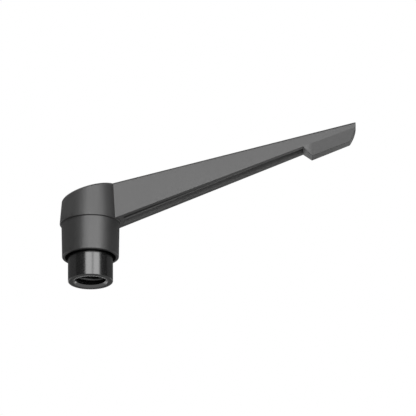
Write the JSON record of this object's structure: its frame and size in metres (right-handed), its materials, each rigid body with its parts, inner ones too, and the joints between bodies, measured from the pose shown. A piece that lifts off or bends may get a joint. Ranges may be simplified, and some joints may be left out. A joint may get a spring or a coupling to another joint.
{
  "type": "adjustable clamping lever",
  "caption": "Clamping lever with a sloping cast arm, a hub over a threaded insert, and a spring-loaded ring of teeth that lets the arm be lifted and set to another angle.",
  "frame": {"origin": "on the axis of the female thread, at the lower end face of the insert", "axes": "+Z along the thread's axis, up from the clamped part to the top of the hub; +X from the hub to the tip of the arm; +Y across the arm"},
  "size_m": [0.0485, 0.01, 0.0274],
  "materials": {
    "cast_coating": "fine matt dark grey coating on a zinc casting",
    "insert_steel": "blackened turned steel, satin",
    "screw_steel": "blackened steel, satin",
    "spring_wire": "bright drawn spring wire"
  },
  "bodies": {
    "core": {"threaded_insert": "insert_steel", "retaining_screw": "screw_steel"},
    "lift": {"spring": "spring_wire"},
    "lever": {"handle": "cast_coating"}
  },
  "joints": [
    {"name": "handle_lift", "type": "slide", "parent": "core", "child": "lift", "axis": [0, 0, 1], "range_m": [0, 0.002], "stiffness_N_per_m": 470, "springref_m": -0.0019, "deforming": ["spring"]},
    {"name": "handle_turn", "type": "hinge", "parent": "lift", "child": "lever", "pos_m": [0, 0, 0], "axis": [0, 0, 1], "continuous": true}
  ]
}
